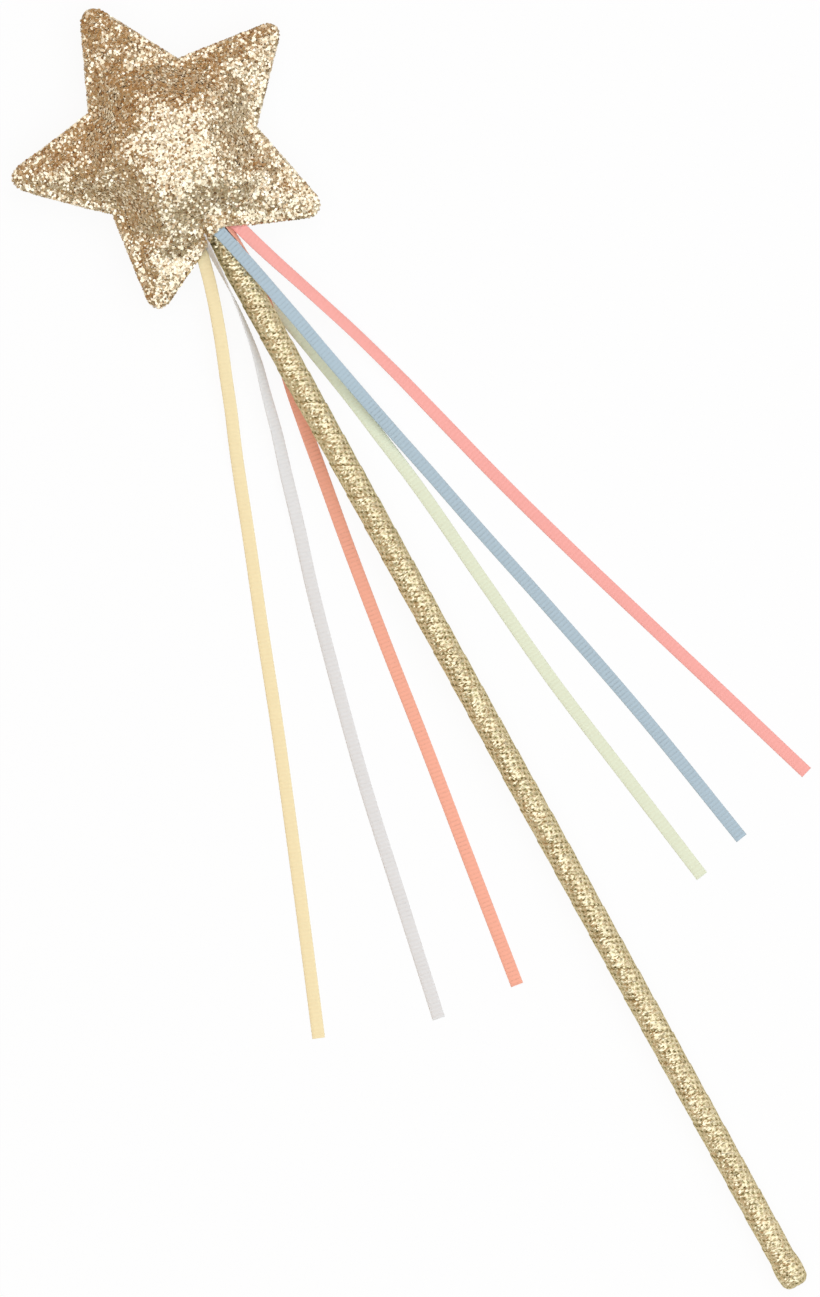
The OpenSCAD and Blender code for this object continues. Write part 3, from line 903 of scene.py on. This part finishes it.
def stitch_seam(trees):
    """Running stitches round both faces of the star, just inside its margin."""
    line = star_outline(STAR_GRID)
    track = inset_line(line, STAR_MARGIN, TRACK_STEP)
    track = np.concatenate([track, track[:1]])
    along = np.concatenate([[0], np.cumsum(np.linalg.norm(np.diff(track, axis=0), axis=1))])
    middles = np.arange(STITCH_LENGTH / 2, along[-1] - STITCH_LENGTH / 2, STITCH_LENGTH + STITCH_GAP)
    spots = np.stack([np.interp(middles, along, track[:, k]) for k in (0, 1)], 1)
    ahead = np.stack([np.interp(middles + STITCH_D, along, track[:, k]) for k in (0, 1)], 1) - spots
    places, turns = [], []
    for side, tree in trees.items():
        for spot, way in zip(spots, ahead):
            point, normal = on_surface(tree, spot, side)
            x = np.array([way[0], way[1], 0]) / np.linalg.norm(way)
            x = x - normal * (x @ normal)
            x /= np.linalg.norm(x)
            turns.append(np.stack([x, np.cross(normal, x), normal], 1))
            places.append(point + normal * STITCH_D / 4)
    scales = np.ones(len(places))
    return copies("seam_stitches", stitch_shape(), np.array(turns), np.array(places), scales)


def sew_star():
    """The stuffed star: two glitter panels, their flakes, the stitches and the fibre inside."""
    plan, triangles, distance = cut_panel()
    shapes = dict(zip((1, -1), blow_up(plan, triangles, distance)))
    line = star_outline(STAR_GRID)
    cloth, gold = glitter_cloth(), flake_gold()
    flake = flake_shape()
    chance = np.random.default_rng(SEED)
    trees = {}
    for side, face in ((1, "front"), (-1, "back")):
        shapes[side] = settle(shapes[side], side, distance)
        faces = triangles if side > 0 else turned_over(triangles)
        panel = mesh_piece("star_panel_" + face, shapes[side], faces)
        apply_modifier(panel, "SUBSURF", levels=1, render_levels=1)
        trees[side] = surface_of(panel)
        apply_modifier(panel, "SOLIDIFY", thickness=FABRIC_T, offset=-1)
        finish_piece(panel, cloth, "glitter_fabric", "star_" + face)
        flakes = strew_flakes("star_flakes_" + face, trees[side], side, line, flake, chance)
        finish_piece(flakes, gold, "glitter_fabric")
    finish_piece(stitch_seam(trees), sewing_thread(), "thread", "seam_thread")
    stuff_star(plan, triangles, distance, shapes)


def stuff_star(plan, triangles, distance, shapes):
    """The fibre inside the star: the pillow drawn in from its panels, with a channel for the stick."""
    middle = np.array([STAR_SPOT.x, STAR_SPOT.y, SEAM_Z])
    points = np.concatenate([shapes[1], shapes[-1]]) - middle
    points = points * FIBRE_SHARES + middle
    fill = mesh_piece("star_fibre", points, pillow_faces(plan, triangles, distance))
    deselect()
    bpy.ops.mesh.primitive_cylinder_add(
        vertices=CHANNEL_SIDES, radius=STICK_R + CHANNEL_CLEAR, depth=CHANNEL_LENGTH
    )
    channel = bpy.context.object
    channel.rotation_euler = STICK_ALONG.to_track_quat("Z", "Y").to_euler()
    channel.location = STICK_START + STICK_ALONG * CHANNEL_MIDDLE
    apply_modifier(fill, "BOOLEAN", object=channel, operation="DIFFERENCE", solver="EXACT")
    bpy.data.objects.remove(channel)
    finish_piece(fill, fibre_fill(), "fibre_fill", "star_stuffing")


# Stick
def stick_points(along, angle, radius):
    """Points round the stick, from the way along it, the angle from +X and the distance from its axis.

    None goes below the table.
    """
    along, angle, radius = (np.asarray(v, float)[..., None] for v in (along, angle, radius))
    spoke = np.cos(angle) * np.array(STICK_SIDE) + np.sin(angle) * np.array(STICK_UP)
    points = np.array(STICK_START) + along * np.array(STICK_ALONG) + radius * spoke
    points[..., 2] = np.maximum(points[..., 2], 0)
    return points


def strip_faces(rows, columns):
    """Quads of a strip of rows, closed round its columns, with its two ends capped."""
    faces = []
    for i in range(rows - 1):
        this, after = i * columns, (i + 1) * columns
        for j in range(columns):
            k = (j + 1) % columns
            faces.append((this + j, after + j, after + k, this + k))
    last = (rows - 1) * columns
    faces.append(tuple(range(columns)))
    faces.append(tuple(last + j for j in reversed(range(columns))))
    return faces


def thread_relief(rows, columns, chance):
    """Height from 0 to 1 over a stretch of tape: flat ribs with staggered dashes pressed in between."""
    row, column = np.arange(rows)[:, None], np.arange(columns)[None]
    rib = column // TAPE_RIB_ROWS
    across = column % TAPE_RIB_ROWS / TAPE_RIB_ROWS
    groove = np.clip(1 - TAPE_GROOVE_FALL * np.minimum(across, 1 - across), 0, 1)
    phase = row / TAPE_DASH_STEPS + rib * TAPE_DASH_SHIFT + across * TAPE_DASH_LEAN
    dashes = (rows // TAPE_DASH_STEPS + columns, columns // TAPE_RIB_ROWS + 1)
    press = chance.uniform(TAPE_PRESS_LEAST, 1, dashes)
    dash = np.clip(TAPE_DASH_OPEN + np.cos(2 * math.pi * phase), TAPE_DASH_LEAST, 1)
    return 1 - groove * dash * press[np.floor(phase).astype(int), rib + 0 * row]


def wind_tape():
    """One strip of ribbed metal thread tape, wound left-handed from inside the star to the end cup."""
    columns = TAPE_RIBS * TAPE_RIB_ROWS + 1
    width = TAPE_PITCH + TAPE_OVERLAP
    last = STICK_END - CUP_LENGTH / 2
    rows = round((last - TAPE_TAIL - TAPE_FIRST) / TAPE_PITCH * TAPE_TURN_STEPS)
    turn = np.arange(rows)[:, None] / TAPE_TURN_STEPS
    share = np.linspace(0, 1, columns)[None]
    high = thread_relief(rows, columns, np.random.default_rng(SEED))
    radius = TAPE_INNER_R + TAPE_T * (1 - share) + TAPE_RIB_H * high
    start = TAPE_FIRST + TAPE_PITCH * turn
    along = start + np.minimum(width, last - start) * share
    angle = -2 * math.pi * turn + 0 * share
    outer = stick_points(along, angle, radius)
    inner = stick_points(along[:, [-1, 0]], angle[:, [-1, 0]], np.full((rows, 2), TAPE_UNDER_R))
    points = np.concatenate([outer, inner], 1)
    tape = mesh_piece("stick_tape", points.reshape(-1, 3), strip_faces(rows, columns + 2))
    # the same height darkens the tape's colour: painted shade in the pressed dashes and grooves
    give_values(tape, "high", np.concatenate([high, np.zeros((rows, 2))], 1).ravel())
    laid = np.stack([-angle * STICK_R, along], 2)[:, list(range(columns)) + [-1, 0]]
    give_uv(tape, laid.reshape(-1, 2) / MM)
    finish_piece(tape, lame_tape("lame_tape"), "gold_tape", "stick_wrap")


def fold_end_cup():
    """The tape's last bit, folded over the free end: a closed cup, ribbed round its side and gathered."""
    straight_length = CUP_LENGTH - CUP_ROUND
    side_rows = round(straight_length / (TAPE_PITCH / TAPE_RIBS)) * TAPE_RIB_ROWS
    profile = [(STICK_END - CUP_LENGTH, CUP_R - TAPE_T)]
    for i in range(side_rows):
        share = i / side_rows
        at = STICK_END - CUP_LENGTH + straight_length * share
        profile.append((at, CUP_R + CUP_SWELL * math.sin(math.pi * share)))
    for bend in np.linspace(0, math.pi / 2, CUP_ROUND_ROWS):
        at = STICK_END - CUP_ROUND * (1 - math.sin(bend))
        profile.append((at, CUP_R - CUP_ROUND * (1 - math.cos(bend))))
    for share in CUP_FACE_SHARES:
        profile.append((STICK_END, (CUP_R - CUP_ROUND) * share))
    rows = len(profile)
    high = thread_relief(CUP_STEPS, rows, np.random.default_rng(SEED + 1)).T
    angle = np.arange(CUP_STEPS) / CUP_STEPS * 2 * math.pi
    gather = np.cos(CUP_GATHERS * angle + CUP_GATHER_SWAY * np.sin(2 * angle))
    rings = []
    for (at, out), high_here in zip(profile, high):
        fold = CUP_FOLD * gather * max(0, 1 - (STICK_END - at) / (CUP_LENGTH / 2))
        rise = TAPE_RIB_H * (high_here - 0.5)
        if out < CUP_FACE_R:
            rings.append(stick_points(at + fold + rise, angle, out))
        else:
            rings.append(stick_points(at, angle, out + rise + fold / 2))
    faces = turned_over(strip_faces(rows, CUP_STEPS))
    cup = mesh_piece("end_cup", np.array(rings).reshape(-1, 3), faces)
    # the same height darkens the cup's colour: painted shade in the pressed dashes and grooves
    give_values(cup, "high", high.ravel())
    laid = [(a * STICK_R, at + CUP_R - out) for at, out in profile for a in angle]
    give_uv(cup, np.array(laid) / MM)
    finish_piece(cup, lame_tape("lame_cup"), "gold_tape", "end_wrap")


def dress_dowel():
    """Gives the frame's own dowel, which stays as it is, its wood."""
    dowel = frame["nodes"]["dowel"]
    dowel.data.materials.clear()
    dowel.data.materials.append(birch())


# Stage
def set_table():
    """A white table top that looks evenly lit to the camera and in shiny pieces."""
    deselect()
    bpy.ops.mesh.primitive_plane_add(size=TABLE_SIZE, location=(0, 0, -TABLE_DROP))
    floor = bpy.context.object
    floor.name = "table_top"
    bpy.ops.object.transform_apply(location=True)
    paper = Finish("white_paper")
    paper.set(Base_Color=(0.9, 0.9, 0.9, 1), Roughness=0.9)
    paper.shader.inputs["Specular IOR Level"].default_value = 0.2
    path = paper.add("LightPath")
    seen = paper.math("MAXIMUM", path.outputs["Is Camera Ray"], path.outputs["Is Glossy Ray"])
    seen = paper.math("MAXIMUM", seen, path.outputs["Is Transmission Ray"])
    glow = paper.add("Emission", {"Color": (1, 1, 1, 1), "Strength": 1.0})
    share = paper.math("MULTIPLY", seen, PAPER_GLOW)
    mix = paper.add("MixShader", {0: share, 1: paper.shader.outputs[0], 2: glow.outputs[0]})
    paper.links.new(mix.outputs[0], paper.nodes["Material Output"].inputs["Surface"])
    floor.data.materials.append(paper.material)


def set_lamp():
    """A wide soft lamp overhead."""
    lamp = bpy.data.lights.new("overhead", "AREA")
    lamp.shape = "DISK"
    lamp.size = LAMP_SIZE
    lamp.energy = LAMP_WATTS
    lamp.color = LAMP_COLOUR
    light = bpy.data.objects.new("overhead", lamp)
    light.location = LAMP_SPOT
    light.visible_camera = False
    bpy.context.scene.collection.objects.link(light)


def set_surround():
    """A dim surround, warmer towards +Y."""
    world = bpy.data.worlds.new("surround")
    world.use_nodes = True
    nodes = world.node_tree.nodes
    links = world.node_tree.links
    way = nodes.new("ShaderNodeSeparateXYZ")
    links.new(nodes.new("ShaderNodeTexCoord").outputs["Generated"], way.inputs[0])
    side = nodes.new("ShaderNodeMapRange")
    side.inputs["From Min"].default_value = -1
    links.new(way.outputs["Y"], side.inputs["Value"])
    walls = nodes.new("ShaderNodeValToRGB")
    for element, colour in zip(walls.color_ramp.elements, SURROUND_SIDES):
        element.color = colour
    links.new(side.outputs[0], walls.inputs["Fac"])
    links.new(walls.outputs["Color"], nodes["Background"].inputs["Color"])
    nodes["Background"].inputs["Strength"].default_value = SURROUND_STRENGTH
    bpy.context.scene.world = world


set_camera()
for ribbon_name, facts in RIBBONS.items():
    lay_ribbon(ribbon_name, **facts)
sew_star()
wind_tape()
fold_end_cup()
dress_dowel()
set_table()
set_lamp()
set_surround()
